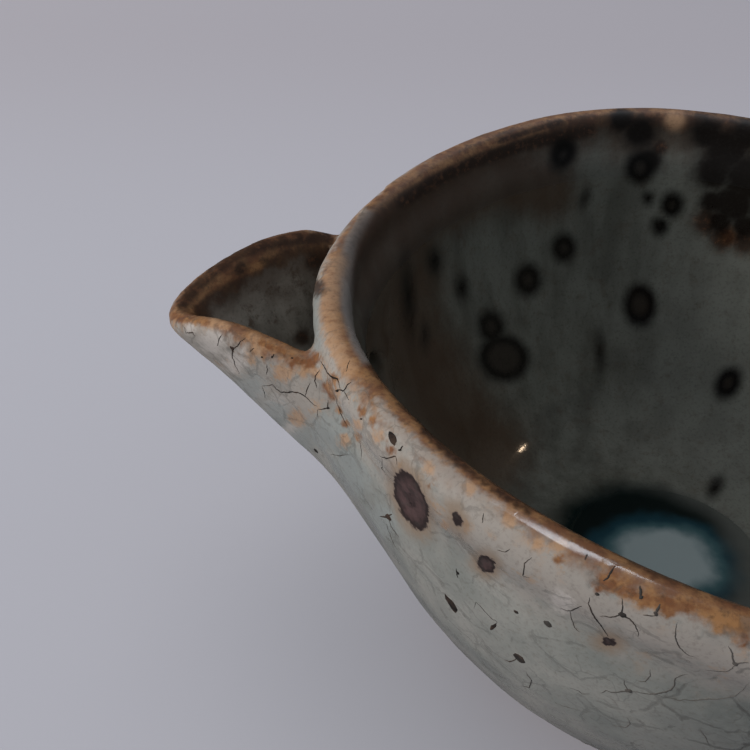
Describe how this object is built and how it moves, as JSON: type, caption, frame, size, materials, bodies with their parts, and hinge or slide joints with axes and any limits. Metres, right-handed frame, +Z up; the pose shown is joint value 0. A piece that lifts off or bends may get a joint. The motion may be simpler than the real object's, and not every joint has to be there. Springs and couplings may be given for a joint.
{
  "type": "katakuchi sake pourer",
  "caption": "Round glazed stoneware pouring bowl with a luted side spout, a pierced pour hole under an unbroken lip and a turned foot ring.",
  "frame": {"origin": "centre of the foot ring's flat resting face, on the bowl's turning axis", "axes": "+Z up along the bowl's turning axis, -X along the spout, +Y to complete"},
  "size_m": [0.1365, 0.116, 0.069],
  "materials": {
    "fired_clay": "iron-bearing stoneware, under the glaze",
    "bare_foot_clay": "bare turned stoneware",
    "pale_crackle_glaze": "thick pale crackled glaze with iron spots",
    "iron_amber_glaze": "thin iron-amber glaze over the lip",
    "grey_green_glaze": "grey-green gloss with iron spots",
    "blushed_glaze": "pale crackle outside, brown to grey-green inside",
    "blue_green_glass": "deep glass gathered in the well"
  },
  "bodies": {
    "root": {"bowl": "fired_clay", "foot_ring": "bare_foot_clay", "spout": "fired_clay", "spout_luting": "fired_clay", "outer_glaze": "pale_crackle_glaze", "rim_glaze": "iron_amber_glaze", "inner_glaze": "grey_green_glaze", "spout_glaze": "blushed_glaze", "joint_glaze": "pale_crackle_glaze", "glaze_pool": "blue_green_glass"}
  },
  "joints": []
}
